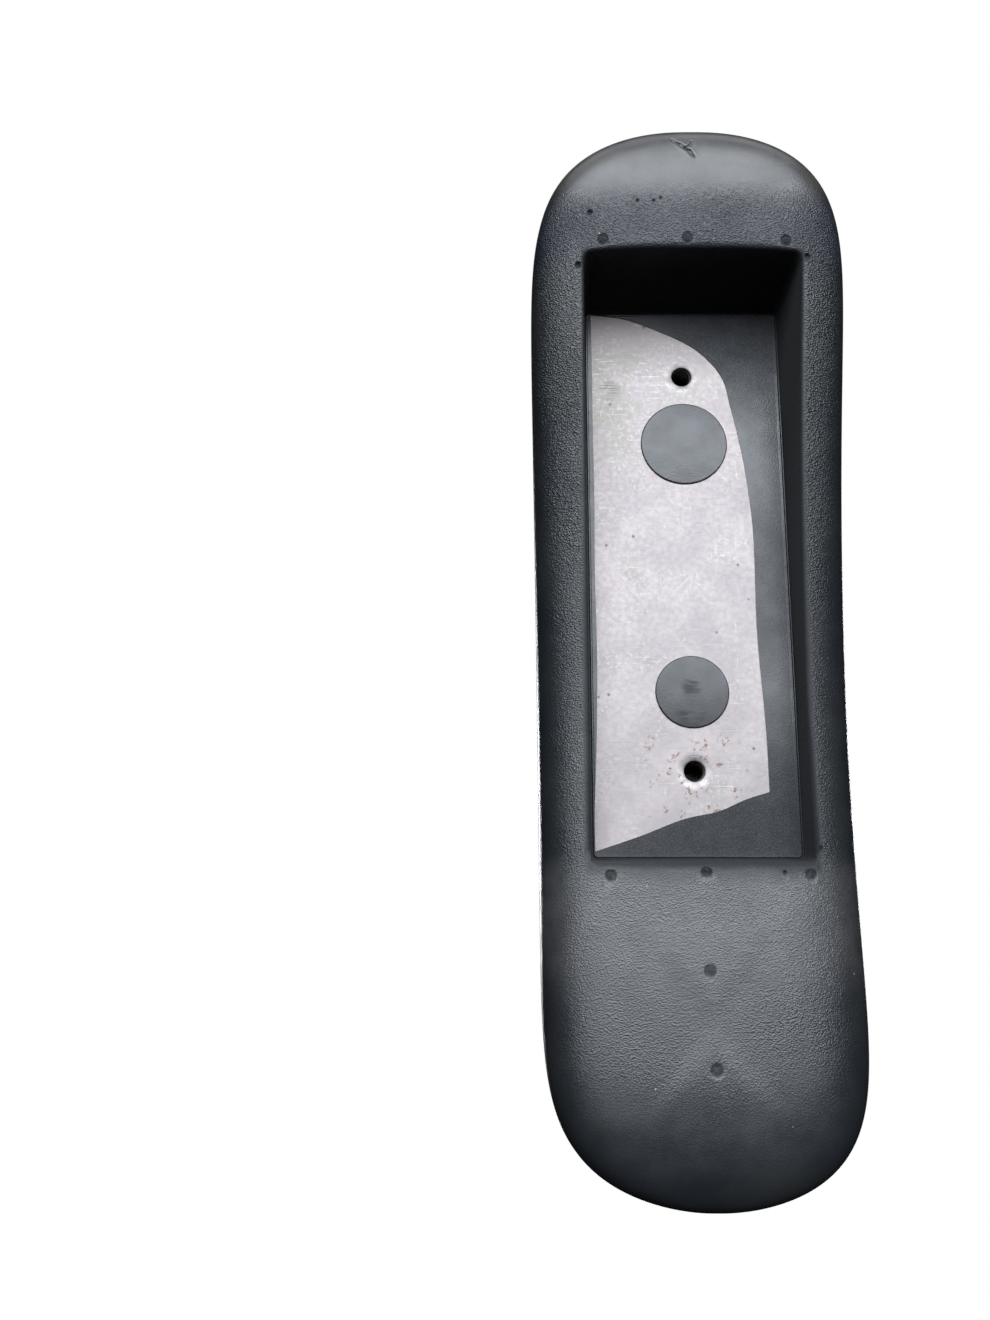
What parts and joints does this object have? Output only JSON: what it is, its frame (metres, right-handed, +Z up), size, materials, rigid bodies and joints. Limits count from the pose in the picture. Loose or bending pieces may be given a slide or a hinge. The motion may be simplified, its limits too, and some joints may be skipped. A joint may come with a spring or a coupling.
{
  "type": "chair armrest pad",
  "caption": "Arched integral-skin foam armrest pad with a long underside recess over a steel insert that has tapped holes for fixing it to a chair's arm.",
  "frame": {"origin": "centre of the insert's exposed face, half way between the two screw holes", "axes": "+Z up through the cushion, square to the insert's face, which faces -Z; +Y towards the squarer rear end; -Y towards the long rounded nose; X across, the pad's plane of symmetry being X = 0"},
  "size_m": [0.0836, 0.2713, 0.063],
  "materials": {
    "integral_skin_foam": "satin",
    "zinc_plated_sheet": "satin",
    "zinc_plated_nut": "satin"
  },
  "bodies": {
    "root": {"pad_body": "integral_skin_foam", "insert_plate": "zinc_plated_sheet", "weld_nut_front": "zinc_plated_nut", "weld_nut_rear": "zinc_plated_nut"}
  },
  "joints": []
}
